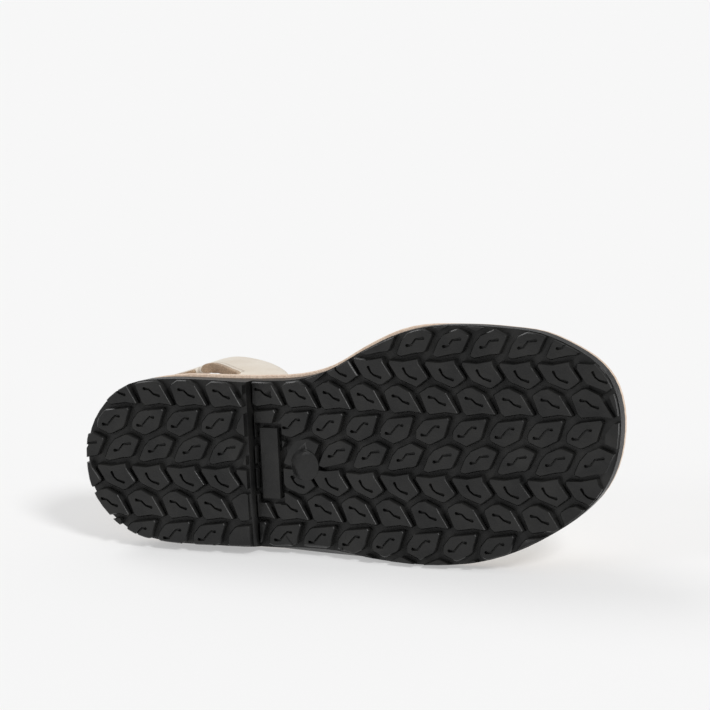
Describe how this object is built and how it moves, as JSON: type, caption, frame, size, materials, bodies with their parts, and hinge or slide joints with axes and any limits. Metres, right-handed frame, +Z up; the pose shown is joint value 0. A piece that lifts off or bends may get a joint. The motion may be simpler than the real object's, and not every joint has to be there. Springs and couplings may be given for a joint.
{
  "type": "avarca sandal",
  "caption": "Left avarca sandal lying on its outer side: lugged black rubber sole with a low heel block, leather midsole and insole, open-toed vamp and a sling strap round the heel",
  "frame": {"origin": "middle of the underside of the overall box, on the floor that the shoe lies on", "axes": "+X points from the heel to the toe, +Z up from the outer side of the foot to the inner side, and the tread looks towards -Y"},
  "size_m": [0.179, 0.0648, 0.0749],
  "materials": {
    "black_rubber": "matte black moulded rubber with fine lines round its wall",
    "tan_leather": "smooth tan leather with a paler cut edge",
    "nude_leather": "soft matte nude leather with raw edges"
  },
  "bodies": {
    "root": {"outsole": "black_rubber", "midsole": "tan_leather", "insole": "tan_leather", "vamp": "nude_leather", "sling_strap": "nude_leather"}
  },
  "joints": []
}
